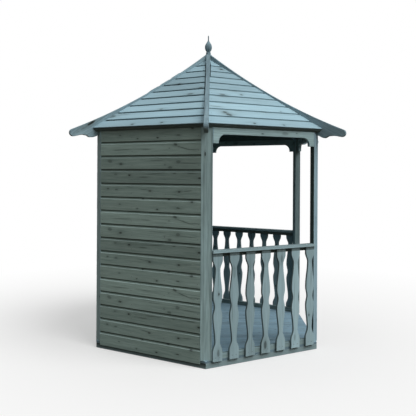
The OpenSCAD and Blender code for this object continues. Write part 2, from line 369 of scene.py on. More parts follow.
# %% The Stack that gathers boards into one object
class Stack:
    """Closed solids with their wood attributes, gathered into one mesh."""

    def __init__(self, seed):
        self.chance = random.Random(seed)
        self.points, self.grain, self.grime, self.tones = [], [], [], []
        self.faces, self.ends, self.wear_and_edge_light = [], [], []
        self.marks = [[] for k in range(MARKS)]

    def scatter(self, low, high, half, spacing):
        """Knots and streaks at random, for a board from low to high and half each way."""
        marks = []
        x = low + self.chance.uniform(0.1, 1.0) * spacing
        while x < high and len(marks) < MARKS:
            y = self.chance.uniform(-0.7, 0.7) * half
            radius = min(self.chance.uniform(0.003, 0.008), half / 4)
            marks.append((x, y, radius, self.chance.uniform(1.2, 2.2),
                          self.chance.uniform(0.5, 1.0), 0))
            if self.chance.random() < 0.6:
                # Most knots have a streak beside them.
                marks.append((x + self.chance.uniform(-0.1, 0.1), -y / 2, 0.0025,
                              self.chance.uniform(14, 30), 0.4, 0))
            x += spacing * self.chance.uniform(0.6, 1.7)
        return marks[:MARKS]

    def solid(self, points, grain, grime, faces, marks=(), tone=None):
        """Adds a closed solid. A face is (corners, is it a cut end, is it an arris with wear and
        painted edge light).

        A mark is (along, across, radius, stretch, darkness, slope)."""
        for k in range(MARKS):
            if k < len(marks):
                x, y, radius, stretch, dark, lean = marks[k]
                self.marks[k] += [((g[0] - x) / (radius * stretch),
                                   (g[1] - y - lean * (g[0] - x)) / radius, dark) for g in grain]
            else:
                self.marks[k] += [NO_MARK] * len(grain)
        first = len(self.points)
        # Where the board lay in the trunk.
        heart = Vector((self.chance.uniform(0, 60), self.chance.uniform(-0.05, 0.05),
                        self.chance.uniform(0.02, 0.09)))
        if tone is None:
            tone = self.chance.uniform(-1, 1)
        self.points += points
        self.grain += [Vector(g) + heart for g in grain]
        self.grime += grime
        self.tones += [tone] * len(points)
        for corners, is_end, is_wear_and_edge_light in faces:
            self.faces.append([first + k for k in corners])
            self.ends.append(float(is_end))
            self.wear_and_edge_light.append(float(is_wear_and_edge_light))

    def build(self, name, material, slot=None, nodes=()):
        """Turns the gathered solids into one piece that rides on the arbor."""
        mesh = bpy.data.meshes.new(name)
        mesh.from_pydata([tuple(p) for p in self.points], [], self.faces)
        layers = [(f"mark_{k}", "FLOAT_VECTOR", "POINT", "vector", marks)
                  for k, marks in enumerate(self.marks)]
        layers += [("grain", "FLOAT_VECTOR", "POINT", "vector", self.grain),
                   ("grime", "FLOAT", "POINT", "value", self.grime),
                   ("tone", "FLOAT", "POINT", "value", self.tones),
                   ("end", "FLOAT", "FACE", "value", self.ends),
                   ("wear_and_edge_light", "FLOAT", "FACE", "value", self.wear_and_edge_light)]
        for key, kind, domain, field, values in layers:
            layer = mesh.attributes.new(key, kind, domain)
            flat = [c for v in values for c in v] if field == "vector" else values
            layer.data.foreach_set(field, flat)
        work = bmesh.new()
        work.from_mesh(mesh)
        bmesh.ops.recalc_face_normals(work, faces=work.faces)
        work.to_mesh(mesh)
        work.free()
        mesh.shade_smooth()
        mesh.set_sharp_from_angle(angle=math.radians(30))
        mesh.materials.append(material)
        piece = bpy.data.objects.new(name, mesh)
        bpy.context.scene.collection.objects.link(piece)
        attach(piece, "root")
        if nodes:
            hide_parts(*nodes)
        return piece


print("stack ready")


# %% A board from a cross-section
ARRIS = 0.0022         # how far a planed edge is eased


def eased(corners, arris=ARRIS):
    """A section with each corner cut off: (across, out, painted shade, the edge that follows has
    wear and painted edge light).
    """
    section = []
    for k, corner in enumerate(corners):
        here = Vector(corner)
        before = (Vector(corners[k - 1]) - here).normalized() * arris
        after = (Vector(corners[(k + 1) % len(corners)]) - here).normalized() * arris
        section += [(*(here + before), 0.0, 1), (*(here + after), 0.0, 0)]
    return section


def bar_section(across_low, across_high, out_low, out_high, arris=ARRIS):
    return eased([(across_low, out_low), (across_high, out_low),
                  (across_high, out_high), (across_low, out_high)], arris)


def middle_of(section):
    """The middle of a section's corners, across the board. Its grain is measured from there."""
    return sum(p[0] for p in section) / len(section)


def mirrored(rule):
    """Start and stop of a board whose ends mirror each other."""
    return lambda across, out: -rule(across, out), rule


def shifted(marks, along, across):
    return [(x + along, y + across, *rest) for x, y, *rest in marks]


def board(stack, section, start, stop, place, marks=None, spacing=0.45, tone=None):
    """Pushes a section along x. start and stop are places on x, or rules of (across, out).

    Without marks of its own, the board gets random ones about spacing apart."""
    ends = [rule if callable(rule) else (lambda a, o, at=rule: at) for rule in (start, stop)]
    middle = middle_of(section)
    count = len(section)
    points, grain, grime = [], [], []
    for rule in ends:
        for across, out, shading, _ in section:
            x = rule(across, out)
            points.append(place @ Vector((x, across, out)))
            grain.append((x, across - middle, out))
            grime.append(shading)
    faces = [(list(range(count)), True, False),
             (list(range(2 * count - 1, count - 1, -1)), True, False)]
    for k in range(count):
        n = (k + 1) % count
        faces.append(([k, n, count + n, count + k], False, section[k][3]))
    if marks is None:
        half = (max(p[0] for p in section) - min(p[0] for p in section)) / 2
        marks = stack.scatter(min(g[0] for g in grain), max(g[0] for g in grain), half, spacing)
    stack.solid(points, grain, grime, faces, marks, tone)


OUTWARD = ((1, 0, 0), (0, 0, 1), (0, -1, 0))    # a board's y is up and its z points outwards


def axes_place(place, x, y, z, at=(0, 0, 0)):
    """Matrix for a board whose x, y and z run along the given directions of place."""
    turn = Matrix((Vector(x), Vector(y), Vector(z))).transposed().to_4x4()
    return place @ Matrix.Translation(at) @ turn


print("board maker ready")

# %% [markdown]
# ## Sawn outlines
# Headers, balusters and hip boards are sawn from a plank along a curve. Such a piece is an
# outline given a thickness. Its faces are filled with triangles, and a narrow bevel runs round
# both rims, because sanded edges catch the light.


# %% A plank sawn along an outline
def inset(outline, amount):
    """The outline, moved in by amount. It runs anticlockwise."""
    moved = []
    for k, point in enumerate(outline):
        here = Vector(point)
        before = (here - Vector(outline[k - 1])).normalized()
        after = (Vector(outline[(k + 1) % len(outline)]) - here).normalized()
        inward = Vector((-before.y - after.y, before.x + after.x)).normalized()
        lean = max(0.5, inward.dot(Vector((-after.y, after.x))))
        moved.append(here + inward * (amount / lean))
    return moved


def area(outline):
    """Above zero if the outline runs anticlockwise."""
    return sum(a[0] * b[1] - b[0] * a[1]
               for a, b in zip(outline, outline[1:] + outline[:1])) / 2


def between_rings(count, bands, wear_and_edge_light=()):
    """Faces between rings of count points each. The bands in the last argument are arrises, with
    wear and painted edge light.
    """
    faces = []
    for band in range(bands):
        for k in range(count):
            low, n = band * count, (k + 1) % count
            faces.append(([low + k, low + n, low + count + n, low + count + k],
                          False, band in wear_and_edge_light))
    return faces


def sawn(stack, outline, back, front, place, grain_angle=0.0, arris=ARRIS, marks=(), tone=None,
         rim_grime=0.0, back_grime=0.0, shading=lambda x, y: 0.0):
    """An outline in x and y, from z = back to z = front, with eased rims.

    The last three arguments paint shade on the sawn rims, on the back, and by a rule of (x, y). The
    grain runs at grain_angle to x."""
    if area(outline) < 0:
        outline = outline[::-1]
    inner = inset(outline, arris)
    count = len(outline)
    rings = [(inner, back), (outline, back + arris), (outline, front - arris), (inner, front)]
    cos, sin = math.cos(grain_angle), math.sin(grain_angle)
    points, grain, grime = [], [], []
    for ring, z in rings:
        for x, y in ring:
            points.append(place @ Vector((x, y, z)))
            grain.append((x * cos + y * sin, y * cos - x * sin, z))
            grime.append(max(shading(x, y), rim_grime if ring is outline else 0.0,
                             back_grime if z == back else 0.0))
    faces = between_rings(count, 3, wear_and_edge_light=(0, 2))
    for low in (0, 3 * count):
        for corners in tessellate_polygon([[Vector((*p, 0)) for p in inner]]):
            faces.append(([low + k for k in corners], False, False))
    stack.solid(points, grain, grime, faces, marks, tone)


def ease(t):
    """From 0 to 1 along half a cosine wave."""
    return (1 - math.cos(math.pi * t)) / 2


print("outline maker ready")

# %% [markdown]
# ## Nail heads
# A nail head is a low eight-sided button. One loop over a piece's fixings gathers them all
# in one object, so that they cost little.


# %% Nail heads
NAIL_R = 0.0038
NAIL_SUNK, NAIL_PROUD = 0.001, 0.0009    # its lower end under the board's face, its top over it
NAIL_UP = 0.035                          # from a board's lower edge to its nails


def circle(radius, z, count):
    """Points round the z axis."""
    turns = [2 * math.pi * k / count for k in range(count)]
    return [Vector((radius * math.cos(a), radius * math.sin(a), z)) for a in turns]


def nail(stack, place):
    """A nail head whose top faces +z of place."""
    rings = [(NAIL_R, -NAIL_SUNK), (NAIL_R, 0.0), (NAIL_R * 0.6, NAIL_PROUD)]
    points = [place @ p for r, z in rings for p in circle(r, z, 8)]
    faces = [(list(range(8)), False, False), (list(range(16, 24)), False, False)]
    stack.solid(points, [(0, 0, 0)] * 24, [0.0] * 24, faces + between_rings(8, 2))


print("nail maker ready")

# %% [markdown]
# ## The floor frame
# Bearers run round the edge with mitred corners, and joists cross between them. Scaled cubes
# would run through each other at the corners. As boards, their ends are cut to meet, and sawn
# timber has only slightly broken arrises.

# %% Bearers and joists
BUTT = 0.0004                              # the gap where two timbers meet
SAWN_ARRIS = 0.0015
BEARER_W = 0.045
# The bearers' tones are painted light and shade: paler on the lit front_left side, darker on the
# shaded back_left side.
BEARER_TONES = {"front_left": 1.5, "back_left": -0.9}
SHADED, BEARER_SHADE = "back_left", 1.3     # the bearer with painted shade on its upper half
JOIST_PITCH = 0.290
JOISTS = range(-3, 4)
bearer_height = deck_low.z
inner_corner = 2 * (apothem - BEARER_W) / math.sqrt(3)


def mitre(across, out):
    return (apothem - across) * TAN30 - BUTT


def joist_end(across, out):
    return inner_corner - abs(across) / math.sqrt(3) - BUTT


floor_stack = Stack(11)
for side in SIDES:
    section = bar_section(0, BEARER_W, 0, bearer_height, SAWN_ARRIS)
    if side == SHADED:
        section = [(*p[:2], BEARER_SHADE * (p[1] > bearer_height / 2), p[3]) for p in section]
    board(floor_stack, section, *mirrored(mitre), side_place(side), tone=BEARER_TONES.get(side))
for k in JOISTS:
    y = k * JOIST_PITCH
    section = bar_section(y - BEARER_W / 2, y + BEARER_W / 2, 0, bearer_height, SAWN_ARRIS)
    board(floor_stack, section, *mirrored(joist_end), Matrix())
floor_piece = floor_stack.build("floor_frame_timbers", FLOOR_WOOD, "floor_timber",
                                ["floor_frame"])
print("floor frame:", len(floor_piece.data.polygons), "faces")

# %% [markdown]
# ## The deck
# Deck boards lie across the joists, from front to back, with a narrow gap between them, and
# their ends follow the hexagon. A board near a corner has slanting ends, so the end is a rule:
# at each place across the board it says how far the floor reaches.

# %% Deck boards
DECK_PITCH, DECK_GAP = 0.118, 0.005
CORNER_GAP = 0.004                  # what the outermost boards leave at the hexagon's corners
DECK_ARRIS = 0.0025
SCREW_IN, SCREW_BACK = 0.02, 0.03   # a screw's distance from a board's edge, and from its end


def floor_reach(x, out=0.0):
    """How far the floor reaches towards the front and the back."""
    return min(apothem, (side_length - abs(x)) * math.sqrt(3))


deck_stack, screw_stack = Stack(12), Stack(13)
along_y = axes_place(Matrix(), (0, 1, 0), (-1, 0, 0), (0, 0, 1))
edges = [-side_length, *(k * DECK_PITCH for k in range(-9, 10)), side_length]
for low, high in zip(edges, edges[1:]):
    a = low + (CORNER_GAP if low == edges[0] else DECK_GAP / 2)
    b = high - (CORNER_GAP if high == edges[-1] else DECK_GAP / 2)
    section = bar_section(-b, -a, deck_low.z, deck_high.z, DECK_ARRIS)
    for turn in (-side_length / 2, side_length / 2):
        if a < turn < b:
            # The end turns within this board, so its top and its back get a point there.
            for z in (deck_high.z, deck_low.z):
                level = [k for k, p in enumerate(section) if abs(p[1] - z) < 1e-6]
                section.insert(max(level), (-turn, z, 0.0, 0))
    board(deck_stack, section, *mirrored(floor_reach), along_y)
    for k in JOISTS:
        for x in (a + SCREW_IN, b - SCREW_IN):
            if abs(k * JOIST_PITCH) < floor_reach(x) - SCREW_BACK:
                nail(screw_stack, Matrix.Translation((x, k * JOIST_PITCH, deck_high.z)))
deck_stack.build("floor_deck_boards", DECK_WOOD, "deck_boards", ["floor_deck"])
screw_stack.build("floor_deck_screws", NAIL_METAL)
print("deck boards:", len(edges) - 1)

# %% [markdown]
# ## The posts
# Each post is cut from one timber to a section with two slanting flanks, square to the walls
# on both sides. Cutting a cube down with booleans would leave sharp edges, so the section is
# drawn with its arrises, lying down, and pushed up from the deck.

# %% Posts
post_low, post_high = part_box("post_left")
post_face_r = -post_low.x
post_depth = post_high.x - post_low.x
post_face = post_high.y - post_low.y
post_inner = post_face - 2 * post_depth * TAN30
post_top = post_high.z
POST_ARRIS = 0.003
# Height above the ground, across, radius, stretch, darkness, slope.
POST_MARKS = {"left": [(1.81, -0.0155, 0.006, 3, 1.0, 0), (1.0, -0.025, 0.0025, 450, 0.35, 0),
                       (1.2, 0.042, 0.005, 400, 0.42, 0), (0.62, 0.03, 0.004, 30, 0.35, 0),
                       (1.5, 0.0, 0.05, 9, 0.17, 0)]}
POST_TONES = {"left": 2.5, "front_left": 0.0, "front_right": -2.0}
POST_FLANK_SHADE = {"front_left": 1.1}           # painted shade on the flanks and the inner face
for k, corner in enumerate(CORNERS):
    stack = Stack(20 + k)
    section = eased([(-post_face / 2, post_face_r), (-post_inner / 2, post_face_r - post_depth),
                     (post_inner / 2, post_face_r - post_depth), (post_face / 2, post_face_r)],
                    POST_ARRIS)
    if corner == "front_left":
        section[-1] = (*section[-1][:3], 1)    # its outer face takes the blue arris colour, as a painted highlight
    for p in range(1, len(section) - 1):
        section[p] = (*section[p][:2], POST_FLANK_SHADE.get(corner, 0.0), section[p][3])
    place = axes_place(corner_place(corner), (0, 0, 1), (0, 1, 0), (1, 0, 0))
    board(stack, section, post_low.z, post_top, place, POST_MARKS.get(corner),
          tone=POST_TONES.get(corner))
    stack.build(f"post_{corner}_timber", FRAME_WOOD, "frame_timber", [f"post_{corner}"])
half_bay = post_face_r / 2 - post_face / 2 * COS30    # from the middle of a side to a post
print("posts:", len(CORNERS), "of", round(post_face, 3), "m")

# %% [markdown]
# ## The boarded walls
# The walls are shiplap: each board has a tongue along its top that slips behind the lap of the
# board above, and a cove below the lap that throws a dark line and catches light under it. The
# whole profile is drawn as one section, so the shadow lines are real. Painted shade darkens the
# lap and the groove as well, and the cove's lowest steps carry a painted highlight.


# %% The shiplap section
LAP = 0.010            # how far a tongue slips behind the board above
RECESS_H = 0.0075      # full depth under the lap, where the shadow lies
COVE_H = 0.0185        # the curve from there out to the face
COVE_STEPS = 5
LIP = 0.0018           # how far the lap's lower edge is eased
REBATE_PLAY = 0.001    # air above a tongue
TONGUE_PLAY = 0.0006   # air in front of it
BOARD_PLAY = 0.0006    # how far back a board can sit


def shiplap(low, high, thick, cove_depth, tongue=True, shading=1.0):
    """Section of a board from low to high, its back at 0 and its face at thick.

    The last argument is how much painted shade darkens the lap and the groove. The highest board
    has no tongue."""
    lap_back = thick - cove_depth
    rebate = low + LAP + REBATE_PLAY
    section = [(low + LIP, thick, 0.0, 0), (low, thick - LIP, 0.3 * shading, 0),
               (low, lap_back, shading, 0), (rebate, lap_back, shading, 0), (rebate, 0.0, 0.2, 0)]
    if not tongue:
        section += [(high, 0.0, 0.0, 0), (high, thick, 0.0, 0)]
    else:
        groove = lap_back - TONGUE_PLAY
        section += [(high + LAP, 0.0, 0.2, 0), (high + LAP, groove, shading, 0),
                    (high - RECESS_H, groove, shading, 0)]
        # The lowest steps of the cove get the arris colour, as a painted highlight.
        for k in range(1, COVE_STEPS + 1):
            t = math.pi / 2 * (1 - k / COVE_STEPS)
            section.append((high - RECESS_H - COVE_H * math.cos(t),
                            thick - cove_depth * math.sin(t),
                            0.8 * shading * max(0.0, 1 - 2 * k / COVE_STEPS), k >= COVE_STEPS - 2))
        section[-1] = (*section[-1][:3], 0)
    return section


print("shiplap section:", len(shiplap(0, 0.126, 0.012, 0.008)), "corners")

# %% [markdown]
# Sixteen courses make a wall. The boards come from the same few logs, so five patterns of
# knots and streaks return in turn up the wall. Each board still sits a fraction of a
# millimetre in or out and has its own tone.

# %% The five patterns of marks on the wall boards
LOGS = [
    # along from the middle of the board, up from its lower edge, radius, stretch, darkness, slope
    [(-0.12, 0.022, 0.005, 1.6, 0.8, 0), (0.10, 0.025, 0.006, 2.0, 0.9, 0),
     (0.32, 0.043, 0.005, 4.0, 0.8, -0.05), (-0.06, 0.113, 0.005, 2.0, 0.9, 0),
     (0.22, 0.113, 0.005, 2.4, 0.9, 0), (0.46, 0.100, 0.009, 1.8, 0.9, -0.1),
     (-0.32, 0.057, 0.006, 2.4, 0.5, 0)],
    [(-0.46, 0.072, 0.007, 2.0, 0.6, 0), (-0.36, 0.066, 0.007, 2.6, 0.5, 0.05),
     (0.02, 0.058, 0.008, 2.0, 0.7, 0), (-0.03, 0.070, 0.003, 20, 0.5, -0.08),
     (0.33, 0.057, 0.007, 1.8, 1.0, 0), (0.42, 0.066, 0.003, 16, 0.6, 0.08),
     (-0.2, 0.09, 0.003, 30, 0.3, 0)],
    [(-0.21, 0.071, 0.007, 1.7, 1.0, 0), (-0.05, 0.055, 0.003, 16, 0.7, 0),
     (0.06, 0.084, 0.003, 30, 0.6, 0.03), (0.28, 0.089, 0.004, 4.0, 0.5, 0),
     (0.45, 0.090, 0.003, 16, 0.6, 0), (0.535, 0.051, 0.007, 2.0, 1.0, 0),
     (-0.37, 0.078, 0.009, 2.0, 0.35, 0)],
    [(-0.436, 0.073, 0.015, 1.7, 0.45, -0.1), (-0.31, 0.047, 0.009, 2.0, 0.75, 0),
     (0.18, 0.040, 0.006, 1.4, 0.4, 0), (0.32, 0.066, 0.014, 1.6, 0.45, 0),
     (0.43, 0.052, 0.0035, 26, 0.5, -0.02), (0.234, 0.016, 0.010, 2.2, 0.5, 0),
     (0.085, 0.078, 0.004, 20, 0.35, 0)],
    [(0.29, 0.090, 0.010, 1.9, 0.75, -0.2), (0.226, 0.056, 0.006, 1.3, 0.35, 0),
     (0.38, 0.055, 0.004, 16, 0.6, -0.25), (0.49, 0.043, 0.004, 14, 0.45, 0.02),
     (-0.30, 0.050, 0.004, 26, 0.5, 0.03), (-0.02, 0.051, 0.004, 14, 0.45, 0),
     (0.1, 0.09, 0.003, 30, 0.3, 0)],
]
# How pale each course is, from the bottom up. Each wall starts elsewhere in the list.
WALL_TONES = [0, 0.1, -0.9, 0.6, 2.0, 0.8, 0.4, -1.4, 0.7, 1.7, 0.4, -0.2, -1.7, -0.5, 1.0, -0.2]
print("marks in the patterns:", sum(len(log) for log in LOGS))

# %% Wall boards and their nails
COURSES = 16
WALL_PITCH = 0.1263
FIRST_COURSE = 0.0055  # the lowest board is this much wider than the rest
WALL_COVE = 0.008
TONE_STEP = 5          # how far the list of tones moves from wall to wall
UNDER_EAVES = 0.6      # painted shade along the top edge of the highest board, under the eaves
NAIL_IN = 0.025        # from a post to the nails beside it
NAIL_WANDER = 0.004    # how far a nail lands from its place
END_GAP = (0.0004, 0.0016)    # least and most, between a board's end and its post
nail_x = [-half_bay + NAIL_IN, -half_bay / 3, half_bay / 3, half_bay - NAIL_IN]
for n, side in enumerate(WALLS):
    place, low, high = on_side(side, "wall")
    thick = high.y - low.y
    stack, nails = Stack(30 + n), Stack(40 + n)
    facing = axes_place(place, *OUTWARD, (0, high.y, 0))
    tones = [WALL_TONES[(k + TONE_STEP * (2 - n)) % COURSES] for k in range(COURSES)]
    for k in range(COURSES):
        last = k == COURSES - 1
        base = low.z + FIRST_COURSE + k * WALL_PITCH
        z = base if k else low.z
        top = high.z if last else low.z + FIRST_COURSE + (k + 1) * WALL_PITCH
        play = Matrix.Translation((0, 0, -stack.chance.uniform(0, BOARD_PLAY)))
        gap = stack.chance.uniform(*END_GAP)
        section = shiplap(z, top, thick, WALL_COVE, not last)
        if last:
            section[-1] = (*section[-1][:2], UNDER_EAVES, 0)
        marks = shifted(LOGS[k % len(LOGS)], 0, base - middle_of(section))
        board(stack, section, low.x + gap, high.x - gap, facing @ play, marks, tone=tones[k])
        for x in nail_x:
            wander = stack.chance.uniform(-NAIL_WANDER, NAIL_WANDER)
            nail(nails, facing @ Matrix.Translation((x + wander, z + NAIL_UP, thick)))
    stack.build(f"wall_{side}_boards", WALL_WOOD, "wall_boards", [f"wall_{side}"])
    nails.build(f"wall_{side}_nails", NAIL_METAL)
print("wall boards:", COURSES * len(WALLS))

# %% [markdown]
# ## Studs and plates
# Inside, the boards are nailed to studs that stand between a bottom and a top plate. An array
# of one stud would repeat its grain, so a loop makes each stud anew.

# %% Wall frames
STUDS = 4
STUD_W = 0.050
for n, side in enumerate(WALLS):
    place, low, high = on_side(side, "wall_frame")
    stack = Stack(50 + n)
    for bottom in (low.z, high.z - STUD_W):
        board(stack, bar_section(low.y, high.y, bottom, bottom + STUD_W), low.x, high.x, place)
    upright = axes_place(place, (0, 0, 1), (1, 0, 0), (0, 1, 0))
    for k in range(STUDS):
        x = low.x + k * (high.x - low.x - STUD_W) / (STUDS - 1)
        board(stack, bar_section(x, x + STUD_W, low.y, high.y),
              low.z + STUD_W + BUTT, high.z - STUD_W - BUTT, upright)
    stack.build(f"wall_frame_{side}_timbers", FRAME_WOOD, "frame_timber",
                [f"wall_frame_{side}"])
print("studs:", STUDS * len(WALLS))

# %% [markdown]
# ## Headers with brackets
# A header closes the top of each open side. It is sawn from one wide board, with a bracket at
# either end and a quarter circle between bracket and header. Cutting with a cylinder would
# leave the rim sharp, so the quarter circle is part of the outline.

# %% Headers
BRACKET_DROP, BRACKET_W = 0.078, 0.056
BRACKET_R = 0.068      # of the quarter circle
ARC_STEPS = 14
HEADER_TONES = {"front_left": 1.9}
HEADER_GAP = 0.0012    # a dark joint between a bracket and its post
# Along the board, up from its middle, radius, stretch, darkness, slope.
HEADER_MARKS = [(-0.04, 0.03, 0.005, 2.6, 0.9, 0), (0.21, 0.04, 0.016, 2.2, 0.4, 0),
                (0.34, 0.05, 0.006, 1.6, 0.6, 0), (-0.3, 0.055, 0.004, 40, 0.3, 0)]


def header_outline(half, low, high):
    """Anticlockwise outline in x and z, low being the brackets' lower ends."""
    inner = half - BRACKET_W
    straight = low + BRACKET_DROP
    outline = [(half, low), (half, high), (-half, high), (-half, low), (-inner, low)]
    for k in range(ARC_STEPS + 1):
        a = math.pi / 2 * k / ARC_STEPS
        outline.append((-inner + BRACKET_R * (1 - math.cos(a)),
                        straight - BRACKET_R * (1 - math.sin(a))))
    outline += [(-x, z) for x, z in reversed(outline[4:])]
    return outline


for n, side in enumerate(OPEN):
    place, low, high = on_side(side, "header")
    stack = Stack(60 + n)
    marks = shifted(HEADER_MARKS, 0, (low.z + high.z) / 2)
    sawn(stack, header_outline(high.x - HEADER_GAP, low.z, high.z), -high.y, -low.y,
         axes_place(place, *OUTWARD), marks=marks, tone=HEADER_TONES.get(side))
    stack.build(f"header_{side}_board", FRAME_WOOD, "frame_timber", [f"header_{side}"])
print("headers:", len(OPEN))

# %% [markdown]
# ## Balustrades
# A handrail with eased arrises lies on a batten, a second batten lies on the deck, and seven
# sawn balusters are nailed to the outside of both. The baluster's outline swells and narrows
# twice, drawn here as stations joined by cosine curves.

# %% Handrails and battens
# Painted shade: under the handrail, on inner faces and tops, and on the low battens.
SHADE, MID_SHADE, LOW_SHADE = 1.2, 0.75, 0.3
NEAR = 0.003           # a little more than an arris


def rail_section_shade(part, from_inside, from_top):
    """How much painted shade a point of a section gets, by how far it lies from two of its faces.
    """
    if part == "top_batten":
        return SHADE
    if from_inside < NEAR:
        return MID_SHADE
    if part == "low_batten":
        return LOW_SHADE
    return MID_SHADE if from_top == 0 else LOW_SHADE if from_top < NEAR else 0.0


for n, side in enumerate(RAILS):
    for m, part in enumerate(("handrail", "top_batten", "low_batten")):
        place, low, high = on_side(side, part)
        stack = Stack(70 + 3 * n + m)
        section = [(y, z, rail_section_shade(part, high.y - y, high.z - z), wear_and_edge_light)
                   for y, z, _, wear_and_edge_light in bar_section(low.y, high.y, low.z, high.z)]
        board(stack, section, low.x, high.x, place)
        material, slot = ((RAIL_WOOD, "rail_timber") if part == "handrail"
                          else (FRAME_WOOD, "frame_timber"))
        stack.build(f"{part}_{side}_timber", material, slot, [f"{part}_{side}"])
print("rails on", len(RAILS), "sides")

# %% Balusters
BALUSTERS = 7
BALUSTER_W = 0.096
# Share of the height, width there.
STATIONS = [(0.09, 0.096), (0.18, 0.046), (0.42, 0.088), (0.505, 0.060),
            (0.60, 0.088), (0.85, 0.046), (0.94, 0.096)]
STATION_STEPS = 10
RAIL_SHADE = 0.025     # height of the band of painted shade under the handrail
SHADE_FADE = 0.006     # and of its soft lower edge
BACK_SHADE = 0.4       # painted shade on the inner faces
RIM_SHADE = 0.8        # painted shade on the sawn edges
NECK_SHADE = 0.18      # light painted shade from the upper neck to the band
FIXINGS = (0.035, 0.02, 0.02)    # nails: over the lower end, under the upper, to either side
LEAN = 0.002           # how far out of true a baluster can stand, in radians
BALUSTER_TONES = {"front_left": [-0.1, -0.4, -1.2, 0.1, 0.7, 2.0, 0.3]}
# For each board: height above the ground, across, radius, stretch, darkness, slope.
BALUSTER_MARKS = {
    "front_left": [
        [(0.624, -0.009, 0.006, 2.0, 1.1, 0), (0.123, -0.006, 0.013, 2.4, 0.55, 0),
         (0.767, -0.003, 0.003, 30, 0.35, 0)],
        [(0.458, 0.022, 0.004, 20, 0.35, 0), (0.80, 0.004, 0.014, 4.0, 0.3, 0)],
        [(0.789, 0.005, 0.004, 9, 0.4, 0), (0.13, -0.01, 0.003, 25, 0.35, 0)],
        [(0.127, 0.007, 0.015, 2.6, 0.8, 0), (0.611, 0.015, 0.003, 26, 0.35, 0)],
        [(0.88, -0.004, 0.012, 3.0, 0.4, 0), (0.40, -0.012, 0.003, 24, 0.25, 0)],
        [(0.579, 0.017, 0.003, 25, 0.35, 0), (0.15, 0.01, 0.010, 3.0, 0.35, 0)],
        [(0.337, 0.012, 0.006, 1.8, 1.0, 0), (0.70, -0.012, 0.003, 28, 0.35, 0)],
    ],
}


def baluster_outline(low, high):
    """Anticlockwise outline in x and z, mirrored about x = 0."""
    edge = [(BALUSTER_W / 2, low)]
    for (s0, w0), (s1, w1) in zip(STATIONS, STATIONS[1:]):
        for k in range(STATION_STEPS):
            t = k / STATION_STEPS
            edge.append(((w0 + (w1 - w0) * ease(t)) / 2, low + (s0 + (s1 - s0) * t) * (high - low)))
    edge += [(BALUSTER_W / 2, z) for z in (low + STATIONS[-1][0] * (high - low),
                                           high - RAIL_SHADE - SHADE_FADE, high - RAIL_SHADE,
                                           high)]
    return edge + [(-x, z) for x, z in reversed(edge)]


for n, side in enumerate(RAILS):
    place, low, high = on_side(side, "balusters")
    stack, nails = Stack(80 + n), Stack(84 + n)
    outline = baluster_outline(low.z, high.z)
    span = high.x - low.x - BALUSTER_W
    neck = low.z + STATIONS[-2][0] * (high.z - low.z)

    def shaded(x, z):
        """Painted shade: light from the upper neck up, and a dark band under the handrail."""
        return 1.0 if z > high.z - RAIL_SHADE - SHADE_FADE / 2 else NECK_SHADE * (z > neck)

    for k in range(BALUSTERS):
        x = low.x + BALUSTER_W / 2 + span * k / (BALUSTERS - 1)
        lean = Matrix.Rotation(stack.chance.uniform(-LEAN, LEAN), 4, "Z")
        facing = axes_place(place, *OUTWARD, (x, 0, 0)) @ lean
        marks, tone = stack.scatter(low.z, high.z, half=0.03, spacing=0.5)[:4], None
        if side in BALUSTER_TONES:
            # These boards have marks of their own. The draws above still keep their order.
            marks, tone = BALUSTER_MARKS[side][k], BALUSTER_TONES[side][k]
        # The grain runs up the board: a quarter turn from the outline's x.
        sawn(stack, outline, -high.y, -low.y, facing, math.pi / 2, marks=marks, tone=tone,
             rim_grime=RIM_SHADE, back_grime=BACK_SHADE, shading=shaded)
        for z in (low.z + FIXINGS[0], high.z - FIXINGS[1]):
            for dx in (-FIXINGS[2], FIXINGS[2]):
                nail(nails, facing @ Matrix.Translation((dx, z, -low.y)))
    stack.build(f"balusters_{side}_boards", RAIL_WOOD, "rail_timber", [f"balusters_{side}"])
    nails.build(f"balusters_{side}_nails", NAIL_METAL)
print("balusters:", BALUSTERS * len(RAILS))

# %% [markdown]
# ## Eave plates
# A bevelled plate on the headers and the walls carries the roof boards. A plain bar would stand
# through the roof, so the section has a sloping top, and an outer face that is square to it
# and sits in the shade under the eaves.

# %% Eave plates
# Painted shade over the whole plate, which sits in the shade under the eaves.
PLATE_SHADE = 1.0
PITCH = math.radians(36)
ROOF_T, HIP_T = 0.016, 0.040     # how thick the roof boards and the hip boards are
HIP_GAP = 0.0005                 # between them, and between the plates and the roof boards
LEAST_HALF = 0.0015              # a board's end stays this far from the middle of its side
# The hip boards that don't point straight out from the centre, with their turn in radians.
HIP_ASKEW = {"left": -0.0058, "back_left": -0.018, "front_left": 0.016}
roof_low = on_side("front", "roof")[1]
eave_d = apothem - roof_low.y
eave_z = roof_low.z + ROOF_T * math.cos(PITCH)


def roof_z(d):
    """Height of the roof's surface at a distance d from the centre, square to the eave."""
    return eave_z + (eave_d - d) * math.tan(PITCH)


def hip_limit(side, edge, d, gap=HIP_GAP):
    """Where a piece on a side meets the hip board at its low (-1) or high (1) end.

    d is how far out from the centre, square to the eave."""
    n = SIDES.index(side)
    askew = HIP_ASKEW.get(CORNERS[n if edge > 0 else n - 1], 0.0)
    clear = (d - HIP_T) * TAN30 - gap
    return edge * max(clear + edge * askew * d / COS30 ** 2, LEAST_HALF)


